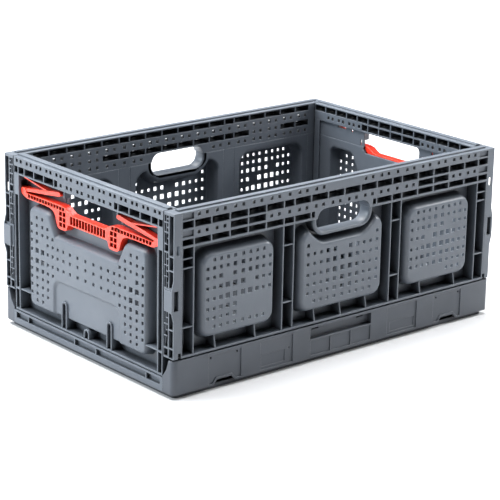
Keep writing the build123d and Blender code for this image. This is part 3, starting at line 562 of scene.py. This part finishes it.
def end_panel(side):
    """The bulged panel of an end wall, with its recess, its keyhole ribs and its cross ribs."""
    node, body = f"{side}_wall_panel", f"end_wall_{side}"
    lowest, highest = (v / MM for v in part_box(node))
    out_low, out_high = min(abs(lowest.x), abs(highest.x)), max(abs(lowest.x), abs(highest.x))
    plate, rise = out_low + SKIN, out_high - out_low - SKIN

    def outward(u, z):
        t = np.clip((outline_distance(u, z, END_CORNER) + END_SHOULDER) / END_SLOPE, 0, 1)
        out = plate + rise * (1 - t ** 2.4) ** 0.85
        recess = rounded_box(u, z, **RECESS)
        out = out - RECESS_DEPTH * smooth(0.5 - recess / RECESS_SLOPE) * (out - plate) / rise
        for middle, top in KEYHOLES:
            slot = rounded_box(u, z, middle, top / 2, KEYHOLE_HALF, top / 2 - KEYHOLE_GAP,
                               KEYHOLE_RADIUS)
            out = np.where(slot < 0, np.minimum(out, plate + KEYHOLE_FLOOR), out)
        return out

    holes = list(hole_boxes(END_COLUMNS, END_ROWS, end_hole))
    fixed_u = [v for hole in holes for v in hole[:2]]
    fixed_z = [v for hole in holes for v in hole[2:]]
    for sign in (-1, 1):
        fixed_u += [sign * v for v in around(END_FACE["half"], 3, 5, 0.8)]
        fixed_u += [sign * v for v in around(RECESS["half_u"], 4, 4)]
        fixed_u += [sign * v for v in around(STEP_SIDE, 9, 9, 1.3)]
    for middle, top in KEYHOLES:
        fixed_u += [middle + v for v in (-3.9, -3.3, 3.3, 3.9)]
        fixed_z += around(top - KEYHOLE_GAP, 4, 1)
    fixed_z += around(END_FACE["low"], 5, 3, 0.8) + around(END_FACE["high"], 3, 5, 0.8)
    fixed_z += around(END_FACE["step"], 3, 5, 0.8)
    fixed_z += around(RECESS["middle_z"] + RECESS["half_z"], 4, 4)

    def gone(u, z):
        return rounded_box(u, z, **END_HAND) < 0

    obj = moulded_sheet(f"{side}_shell_panel", side,
                        grid_lines(lowest.y, highest.y, fixed_u, END_STEP),
                        grid_lines(lowest.z, highest.z, fixed_z, END_STEP), outward, holes, gone)
    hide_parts(node)
    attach(obj, body)

    front = out_high - 0.4
    wall = [(0.4, front), (-0.5, front), (-0.9, front - 0.5), (-0.9, plate), (0.9, plate),
            (0.9, front - 0.5)]
    rib = [(off * 1.5, out) for off, out in wall]
    for number, (middle, top) in enumerate(KEYHOLES):
        bend = top - KEYHOLE_DROP
        path = [(middle - KEYHOLE_RIB, z, -1, 0) for z in np.linspace(RAIL_TOP, bend, 6)]
        path += [(middle + KEYHOLE_RIB * cos(a), bend + KEYHOLE_RIB * sin(a), cos(a), sin(a))
                 for a in np.linspace(pi, 0, 13)[1:-1]]
        path += [(middle + KEYHOLE_RIB, z, 1, 0) for z in np.linspace(bend, RAIL_TOP, 6)]
        sweep(f"{side}_keyhole_{number}", side, body, path, rib)
    for number, sign in enumerate((-1, 1)):
        path = [(sign * v, CROSS_RIB_Z, 0, 1)
                for v in np.linspace(CROSS_RIB_FROM, CROSS_RIB_TO, 6)]
        sweep(f"{side}_cross_rib_{number}", side, body, path, wall)


for side in ("left", "right"):
    end_panel(side)

# ------------------------------------------------------------------------- floor and light, in metres

FLOOR_HALF = 20
# the floor glows faintly under the crate and brightly further out
GLOW_FROM, GLOW_TO = 0.9, 4.0
NEAR_GLOW, FAR_GLOW = 0.08, 1.1
SKY_LIGHT, SKY_SEEN = 0.17, 1.3

floor_material, node, link = new_material("floor_paint")
spot = node("VectorMath", operation="LENGTH")
link(node("TexCoord").outputs["Object"], spot.inputs[0])
glow = node("MapRange", **{"From Min": GLOW_FROM, "From Max": GLOW_TO,
                           "To Min": NEAR_GLOW, "To Max": FAR_GLOW})
link(spot.outputs["Value"], glow.inputs["Value"])
paint = node("BsdfPrincipled", **{"Base Color": (0.55, 0.555, 0.565, 1), "Roughness": 0.5,
                                  "Emission Color": (1, 1, 1, 1)})
link(glow.outputs["Result"], paint.inputs["Emission Strength"])
link(paint.outputs["BSDF"], node("OutputMaterial").inputs["Surface"])
floor = add_mesh("floor", [(FLOOR_HALF * x, FLOOR_HALF * y, low.z)
                           for x, y in ((-1, -1), (1, -1), (1, 1), (-1, 1))], [(0, 1, 2, 3)])
floor.data.materials.append(floor_material)

world = bpy.data.worlds.new("studio")
scene.world = world
world.use_nodes = True
sky = world.node_tree.nodes["Background"]
sky.inputs["Color"].default_value = (0.93, 0.96, 1.0, 1)
sky.inputs["Strength"].default_value = SKY_LIGHT
# the camera sees a white backdrop, which lights nothing
bright = world.node_tree.nodes.new("ShaderNodeBackground")
bright.inputs["Strength"].default_value = SKY_SEEN
seen = world.node_tree.nodes.new("ShaderNodeLightPath")
pick = world.node_tree.nodes.new("ShaderNodeMixShader")
world.node_tree.links.new(seen.outputs["Is Camera Ray"], pick.inputs["Fac"])
world.node_tree.links.new(sky.outputs["Background"], pick.inputs[1])
world.node_tree.links.new(bright.outputs["Background"], pick.inputs[2])
world.node_tree.links.new(pick.outputs["Shader"],
                          world.node_tree.nodes["World Output"].inputs["Surface"])


def softbox(name, place, size, power, colour):
    """A square area light that looks at the crate."""
    light = bpy.data.lights.new(name, "AREA")
    light.shape, light.size, light.energy, light.color = "SQUARE", size, power, colour
    obj = bpy.data.objects.new(name, light)
    obj.location = place
    obj.rotation_euler = (centre - Vector(place)).to_track_quat("-Z", "Y").to_euler()
    scene.collection.objects.link(obj)


softbox("left_key", (-2.3, 1.3, 1.2), 1.1, 76, (0.84, 0.93, 1.0))
softbox("right_key", (1.9, -0.8, 1.3), 0.8, 50, (0.98, 0.99, 1.0))
softbox("overhead", (-0.1, 0.55, 2.3), 2.6, 270, (1.0, 1.0, 1.0))

bpy.context.view_layer.update()
